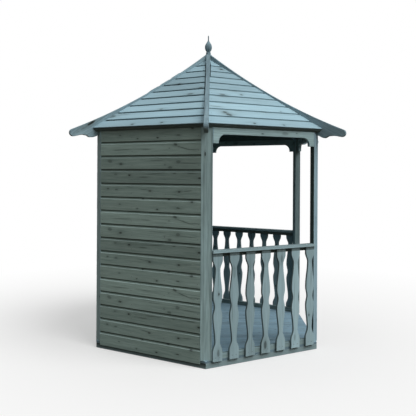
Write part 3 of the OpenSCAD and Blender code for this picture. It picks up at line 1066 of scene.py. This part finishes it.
for n, side in enumerate(SIDES):
    place, low, high = on_side(side, "eave_plate")
    under = ROOF_T / math.cos(PITCH) + HIP_GAP
    lip_z = roof_z(apothem - low.y) - under
    foot_y = low.y + (lip_z - low.z) * math.tan(PITCH)
    stack = Stack(90 + n)
    section = eased([(foot_y, low.z), (high.y, low.z),
                     (high.y, roof_z(apothem - high.y) - under), (low.y, lip_z)], SAWN_ARRIS)
    section = [(*corner[:2], PLATE_SHADE, 0) for corner in section]
    board(stack, section, lambda y, z: hip_limit(side, -1, apothem - y),
          lambda y, z: hip_limit(side, 1, apothem - y), place)
    stack.build(f"eave_plate_{side}_timber", FRAME_WOOD, "frame_timber",
                [f"eave_plate_{side}"])
print("roof surface at the eave:", round(eave_z, 3), "m up,", round(eave_d, 3), "m out")

# %% [markdown]
# ## Roof boards
# The roof faces are boarded with the same shiplap, from the eave up. Each board is cut to the
# hip boards at both ends, and the cut is a rule again: it depends on how far up the slope and
# how deep into the board a corner of the section lies.

# %% Roof boards
ROOF_COURSES = 10
FIRST_LAP, LAP_STEP = 1.119, 0.1193    # the laps' radius under the hip boards, from the eave up
eave_corner = eave_d / COS30
course_r = [eave_corner] + [FIRST_LAP - LAP_STEP * k for k in range(ROOF_COURSES)]
course_s = [(eave_corner - r) * COS30 / math.cos(PITCH) for r in course_r]
# How deep the laps are, and on one face shallower.
COVE, ROOF_COVE = 0.010, {"front_left": 0.0075}
# The courses don't quite line up from face to face: how far up the slope each lap moves.
ROOF_SHIFT = {"front_left": [-0.005] * 9, "back_left": [0] * 6 + [0.003, 0.0055, 0.005]}
# Narrow gaps beside the askew hip boards, by side, end and courses.
SLIT = 0.009
SLITS = {("back_left", 1): range(4, 10), ("front_left", -1): range(7, 10)}
# Marks on the roof boards, by course: along, up the board, radius, stretch, darkness, slope.
ROOF_MARKS = {
    "back_left": {0: [(-0.176, 0.028, 0.010, 1.4, 0.9, 0), (0.144, 0.034, 0.009, 1.7, 0.9, 0)],
                  1: [(-0.517, 0.055, 0.022, 1.8, 0.7, 0), (0.25, 0.112, 0.005, 10, 0.9, 0),
                      (-0.4, 0.08, 0.006, 12, 0.4, 0)],
                  2: [(0.0, 0.015, 0.010, 2.0, 0.6, 0)],
                  4: [(0.18, 0.022, 0.013, 2.6, 0.8, 0)],
                  5: [(-0.07, 0.108, 0.008, 2.4, 1.4, 0), (0.236, 0.010, 0.008, 3.0, 0.9, 0)],
                  6: [(-0.282, 0.016, 0.009, 1.5, 1.4, 0), (-0.07, 0.004, 0.006, 3.0, 1.0, 0)]},
    "front_left": {0: [(-0.13, 0.030, 0.010, 1.5, 0.9, 0), (0.19, 0.028, 0.009, 1.5, 0.8, 0)],
                   1: [(-0.354, 0.064, 0.013, 1.5, 0.9, 0), (-0.33, 0.024, 0.02, 1.5, 0.8, -0.1),
                       (-0.192, 0.110, 0.008, 2.4, 1.0, 0), (0.113, 0.114, 0.007, 4.0, 0.9, 0)],
                   2: [(-0.40, 0.030, 0.007, 9, 0.5, -0.03), (0.302, 0.016, 0.007, 1.6, 0.5, 0),
                       (-0.3, 0.1, 0.003, 30, 0.4, 0)],
                   3: [(-0.227, 0.104, 0.008, 6.0, 1.1, 0)],
                   4: [(-0.217, 0.017, 0.013, 2.4, 0.7, 0), (-0.048, 0.106, 0.007, 6.0, 1.1, 0),
                       (0.005, 0.040, 0.009, 1.6, 0.9, 0)],
                   5: [(0.05, 0.05, 0.004, 40, 0.3, 0)],
                   8: [(0.035, 0.056, 0.011, 1.8, 1.2, 0)]},
}
ROOF_GROOVE_SHADE = {"front_left": 0.55}    # less painted shade in the grooves of this face, which faces the light
# How pale each course is, from the eave up.
ROOF_TONES = {"back_left": [-0.4, 1.1, 1.2, -0.2, 0, -1.5, -1.5, -1.0, 0.4, -1.0],
              "front_left": [-0.2, 0.6, 1.3, 0, 0.3, -1.0, -1.0, -1.3, -1.3, -0.4]}
HIP_NAIL_IN = 0.022      # from a hip board to the nail beside it
NAIL_X_MIN = 0.03        # a board too short for this has no nails


def hip_end(side, edge, course):
    """The rule for where a roof board ends, by how far up the slope and out a point lies."""
    gap = SLIT if course in SLITS.get((side, edge), ()) else HIP_GAP
    return lambda s, out: hip_limit(
        side, edge, eave_d - s * math.cos(PITCH) + (out - ROOF_T) * math.sin(PITCH), gap)


for n, side in enumerate(SIDES):
    slope = axes_place(side_place(side), (1, 0, 0), (0, math.cos(PITCH), math.sin(PITCH)),
                       (0, -math.sin(PITCH), math.cos(PITCH)), (0, apothem - eave_d, eave_z))
    stack, nails = Stack(100 + n), Stack(110 + n)
    laps = [s + move for s, move in zip(course_s, [0, *ROOF_SHIFT.get(side, [0] * 9), 0])]
    tones = ROOF_TONES.get(side, [None] * ROOF_COURSES)
    for k, (s0, s1) in enumerate(zip(laps, laps[1:])):
        ends = [hip_end(side, edge, k) for edge in (-1, 1)]
        play = Matrix.Translation((0, 0, -ROOF_T - stack.chance.uniform(0, BOARD_PLAY)))
        section = shiplap(s0, s1, ROOF_T, ROOF_COVE.get(side, COVE), k < ROOF_COURSES - 1,
                          ROOF_GROOVE_SHADE.get(side, 1.0))
        marks = None
        if side in ROOF_MARKS:
            marks = shifted(ROOF_MARKS[side].get(k, []), 0, s0 - middle_of(section))
        board(stack, section, *ends, slope @ play, marks, spacing=1.2, tone=tones[k])
        for edge, end in zip((-1, 1), ends):
            x = end(s0 + NAIL_UP, ROOF_T) - edge * HIP_NAIL_IN
            if abs(x) > NAIL_X_MIN:
                spot = Vector((x, s0 + NAIL_UP, ROOF_T))
                nail(nails, slope @ play @ Matrix.Translation(spot))
    stack.build(f"roof_{side}_boards", ROOF_WOOD, "roof_boards", [f"roof_{side}"])
    nails.build(f"roof_{side}_nails", NAIL_METAL)
print("roof boards:", ROOF_COURSES * len(SIDES))

# %% [markdown]
# ## Hip boards
# Six boards on edge run from the apex over the posts and end in a shaped tail beyond the
# eaves. Their top edge sags in a shallow curve, and the tail has a hump, a hollow and a round
# end. The outline is drawn as radius and height, and the grain follows the slope.

# %% Hip boards
hip_low, hip_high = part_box("hip_board_right")
HIP_INNER = hip_low.x
NOSE_R = 0.032
NOSE_AT = hip_high.x - NOSE_R
NOSE_Z = post_top - 0.017
NOSE_LEAN = math.radians(23)    # the top edge runs into the round end at this angle
HIP_SAG = 0.061
HIP_STEPS, NOSE_STEPS = 96, 20
# One hip board's top is notched at each course, between two radii, and its tail is fuller.
NOTCHED = "back_left"
NOTCH, NOTCH_FROM, NOTCH_TO = 0.009, 0.32, 0.675
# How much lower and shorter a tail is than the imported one.
TAIL_LOWER = {"back_left": 0.005, "front_left": -0.001}
TAIL_SHORT = {"back_left": 0.0135, "front_left": 0.0135, "left": 0.008}
# The front_left hip board's tone is raised as painted light, lightening its shaded side.
HIP_TONES = {"back_left": 3.5, "left": 0.0, "front_left": 1.8}
# The tail's lower edge: share of the way out from the post, height over the hump.
TAIL = [(0.0, 0.028), (0.32, 0.0), (0.52, 0.018), (0.65, 0.019), (1.0, 0.0065)]
FULL_TAIL = [(0.0, 0.030), (0.12, 0.008), (0.22, 0.001), (0.36, 0.0), (0.5, 0.017),
             (0.62, 0.022), (1.0, 0.0065)]
HIP_GRAIN = math.radians(31)    # the grain falls at this angle
HIP_BACK = 0.0002               # an askew board is moved in by this much
HIP_ARRIS = 0.0025
hip_slope = math.tan(PITCH) * COS30
seat_r = post_face_r - post_depth


def hip_top(corner, r):
    """Height of a hip board's top edge at a radius."""
    t = (r - HIP_INNER) / (NOSE_AT + NOSE_R * math.sin(NOSE_LEAN) - HIP_INNER)
    nose_z = NOSE_Z - TAIL_LOWER.get(corner, 0.0)
    drop = nose_z + NOSE_R * math.cos(NOSE_LEAN) - hip_high.z
    z = hip_high.z + drop * t - HIP_SAG * 4 * t * (1 - t)
    if corner == NOTCHED and NOTCH_FROM < r < NOTCH_TO:
        # From one notch to the next, the edge rises at once and then falls slowly.
        rise = ((NOTCH_TO - r) / LAP_STEP) % 1
        z += NOTCH * min(1, rise * 4) * (1 - rise * 0.4)
    return z


def hip_outline(corner):
    """Outline in radius and height, from the apex along the top and back under the tail."""
    outline = []
    lower = TAIL_LOWER.get(corner, 0.0)
    nose_at = NOSE_AT - TAIL_SHORT.get(corner, 0.0)
    top_end = nose_at + NOSE_R * math.sin(NOSE_LEAN)
    for k in range(HIP_STEPS + 1):
        r = HIP_INNER + (top_end - HIP_INNER) * k / HIP_STEPS
        outline.append((r, hip_top(corner, r)))
    rise = outline[-1][1] - NOSE_Z + lower - NOSE_R * math.cos(NOSE_LEAN)
    for k in range(1, NOSE_STEPS):
        a = math.pi / 2 - NOSE_LEAN - (math.pi - NOSE_LEAN) * k / NOSE_STEPS
        outline.append((nose_at + NOSE_R * math.cos(a),
                        NOSE_Z - lower + NOSE_R * math.sin(a) + rise * (1 - k / NOSE_STEPS)))
    tail = FULL_TAIL if corner == NOTCHED else TAIL
    for (s1, h1), (s0, h0) in zip(tail[::-1], tail[-2::-1]):
        for k in range(STATION_STEPS):
            t = 1 - k / STATION_STEPS
            outline.append((post_face_r + (nose_at - post_face_r) * (s0 + (s1 - s0) * t),
                            hip_low.z - lower * (s0 + (s1 - s0) * t) + h0 + (h1 - h0) * ease(t)))
    outline += [(post_face_r, hip_low.z + tail[0][1]), (post_face_r, post_top),
                (seat_r, post_top), (HIP_INNER, post_top + (seat_r - HIP_INNER) * hip_slope)]
    return outline


# Marks: along the slope, across it, radius, stretch, darkness, slope.
HIP_MARKS = {"back_left": [(-0.008, 2.463, 0.009, 4.8, 1.5, -0.03),
                           (0.09, 2.4585, 0.004, 4.0, 0.35, 0.05),
                           (0.145, 2.4535, 0.003, 6.0, 0.3, 0.05)]}
for n, corner in enumerate(CORNERS):
    stack = Stack(120 + n)
    askew = Matrix.Rotation(HIP_ASKEW.get(corner, 0.0), 4, "Z")
    if corner in HIP_ASKEW:
        askew = askew @ Matrix.Translation((-HIP_BACK, 0, 0))
    upright = axes_place(corner_place(corner) @ askew, *OUTWARD)
    marks = HIP_MARKS.get(corner) or stack.scatter(-0.4, 0.9, half=0.02, spacing=0.5)[:4]
    sawn(stack, hip_outline(corner), -HIP_T / 2, HIP_T / 2, upright, -HIP_GRAIN, HIP_ARRIS,
         marks, HIP_TONES.get(corner))
    stack.build(f"hip_board_{corner}_board", TRIM_WOOD, "roof_trim", [f"hip_board_{corner}"])
print("hip outline:", len(hip_outline("right")), "corners")

# %% [markdown]
# ## Apex block and finial
# A six-sided block joins the hip boards, and a turned finial stands on it. Turning is a
# profile swept round an axis, so the finial is a ring of points for each step of the profile.

# %% Apex block
apex_low, apex_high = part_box("apex_block")
APEX_TOP = 0.054       # across the flat sides, at the top
APEX_TAPER_H = 0.018
APEX_ARRIS = 0.002
APEX_TONE, FINIAL_TONE = 4.8, 1.2    # how pale they are
apex_r = apex_high.y   # to a corner: the flat sides face the hip boards
levels = [(apex_low.z, apex_r - APEX_ARRIS), (apex_low.z + APEX_ARRIS, apex_r),
          (apex_high.z - APEX_TAPER_H, apex_r), (apex_high.z, APEX_TOP / math.sqrt(3))]
points = [Vector((r * math.sin(math.radians(60 * k)), r * math.cos(math.radians(60 * k)), z))
          for z, r in levels for k in range(6)]
faces = [(list(range(6)), True, False), (list(range(18, 24)), True, False)]
faces += between_rings(6, 3, wear_and_edge_light=(2,))
stack = Stack(130)
stack.solid(points, [(p.z, p.y, p.x) for p in points], [0.0] * 24, faces, (), APEX_TONE)
stack.build("apex_block_timber", TRIM_WOOD, "roof_trim", ["apex_block"])
print("apex block:", round(2 * apex_r, 3), "m across its corners")

# %% Finial
finial_low, finial_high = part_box("finial")
bulb_r, base_z = finial_high.x, finial_low.z
COLLAR_R, COLLAR_H, NECK_R, NECK_H = 0.025, 0.026, 0.017, 0.004
FOOT_EDGE, COLLAR_EDGE, NECK_EDGE, TIP_EDGE = 0.002, 0.003, 0.001, 0.0015
BULB_LOW, BULB_HIGH, SPIKE_R, SPIKE_H = 0.046, 0.080, 0.0055, 0.044
BULB_STEPS, SHOULDER_STEPS, TURNS = 14, 20, 48
bulb_z = COLLAR_H + NECK_H + BULB_LOW
tip_z = bulb_z + BULB_HIGH + SPIKE_H
profile = [(COLLAR_R - FOOT_EDGE, 0), (COLLAR_R, FOOT_EDGE),
           (COLLAR_R, COLLAR_H - COLLAR_EDGE), (COLLAR_R - COLLAR_EDGE, COLLAR_H),
           (NECK_R + NECK_EDGE, COLLAR_H), (NECK_R, COLLAR_H + NECK_EDGE)]
for k in range(1, BULB_STEPS + 1):
    a = math.pi / 2 * k / BULB_STEPS
    swell = (math.sin(a) + math.sin(math.pi / 2 * (1 - math.cos(a)))) / 2
    profile.append((NECK_R + (bulb_r - NECK_R) * swell, bulb_z - BULB_LOW * math.cos(a)))
for k in range(1, SHOULDER_STEPS + 1):
    t = k / SHOULDER_STEPS
    profile.append((bulb_r + (SPIKE_R - bulb_r) * ease(t ** 1.25), bulb_z + BULB_HIGH * t))
profile += [(SPIKE_R, tip_z - SPIKE_R), (SPIKE_R * 0.7, tip_z - TIP_EDGE)]

swept = [p for r, z in profile for p in circle(r, z, TURNS)] + [Vector(), Vector((0, 0, tip_z))]
points = [p + Vector((0, 0, base_z)) for p in swept]
grain = [(p.z, p.x, p.y) for p in swept]
faces = between_rings(TURNS, len(profile) - 1)
bottom, tip, last = len(points) - 2, len(points) - 1, len(points) - 2 - TURNS
for k in range(TURNS):
    n = (k + 1) % TURNS
    faces += [([bottom, n, k], False, False), ([tip, last + k, last + n], False, False)]
stack = Stack(131)
stack.solid(points, grain, [0.0] * len(points), faces, (), FINIAL_TONE)
stack.build("finial_turning", TRIM_WOOD, "roof_trim", ["finial"])
print("finial:", len(faces), "faces, tip at", round(base_z + tip_z, 3))

# %% [markdown]
# ## Floor and light
# The stage is a wide pale floor that fades into a white surround. Only the camera sees it that
# bright: for light that bounces, it is darker, as grass and gravel would be, or the underside
# of the roof would glow.

# %% Stage floor
FLOOR_R = 40.0
EARTH, PALE = (0.12, 0.095, 0.068, 1), (0.86, 0.86, 0.855, 1)
FADE_FROM, FADE_W = 1.6, 3.2     # where the floor starts to fade, and over what distance
LEAST_GLOW = 0.4
floor_mesh = bpy.data.meshes.new("stage_floor")
floor_mesh.from_pydata([(-FLOOR_R, -FLOOR_R, 0), (FLOOR_R, -FLOOR_R, 0),
                        (FLOOR_R, FLOOR_R, 0), (-FLOOR_R, FLOOR_R, 0)], [], [(0, 1, 2, 3)])
stage_floor = bpy.data.objects.new("stage_floor", floor_mesh)
bpy.context.scene.collection.objects.link(stage_floor)

floor_material, w, shader = new_material("stage_floor")
seen = w.node("ShaderNodeLightPath", None, None, out="Is Camera Ray")
w.plug(shader.inputs["Base Color"], blended(seen, EARTH, PALE))
shader.inputs["Roughness"].default_value = 1.0
shader.inputs["Specular IOR Level"].default_value = 0.0
at = w.node("ShaderNodeNewGeometry", None, None, out="Position")
px, py, _ = parts(at)
far = clamped((w.maths("SQRT", px * px + py * py) - FADE_FROM) / FADE_W)
far = far * (1 - LEAST_GLOW) + LEAST_GLOW
glow = w.node("ShaderNodeEmission", None, {"Color": (1, 1, 1, 1), "Strength": 1.0})
lit = Wire(w.tree, shader.outputs[0])
mixed = w.node("ShaderNodeMixShader", None, {0: far * seen, 1: lit, 2: glow})
w.plug(w.tree.nodes["Material Output"].inputs["Surface"], mixed)
floor_mesh.materials.append(floor_material)
print("stage floor", 2 * FLOOR_R, "m wide")

# %% World and sun
SKY_LOW, SKY_TOP = 0.06, 0.62    # the sky at the horizon, and how much more there is overhead
TO_SUN = Vector((-0.35, -0.55, 0.76))
SUN_STRENGTH, SUN_ANGLE = 2.15, math.radians(45)    # a wide sun: a bright, hazy sky
world = bpy.data.worlds.new("studio")
bpy.context.scene.world = world
world.use_nodes = True
w = Wire(world.node_tree)
rays = [w.node("ShaderNodeLightPath", None, None, out=f"Is {kind} Ray")
        for kind in ("Camera", "Glossy", "Transmission")]
seen = clamped(rays[0] + rays[1] + rays[2])
height = parts(w.node("ShaderNodeTexCoord", None, None, out="Generated"))[2]
sky = clamped(height) * SKY_TOP + SKY_LOW
background = world.node_tree.nodes["Background"]
background.inputs["Color"].default_value = (1, 1, 1, 1)
w.plug(background.inputs["Strength"], seen * (1 - sky) + sky)

sun_data = bpy.data.lights.new("sun", "SUN")
sun_data.energy = SUN_STRENGTH
sun_data.angle = SUN_ANGLE
sun = bpy.data.objects.new("sun", sun_data)
sun.rotation_mode = "QUATERNION"
sun.rotation_quaternion = TO_SUN.to_track_quat("Z", "Y")
bpy.context.scene.collection.objects.link(sun)
print("sun", round(math.degrees(math.asin(TO_SUN.normalized().z)), 1), "degrees up")
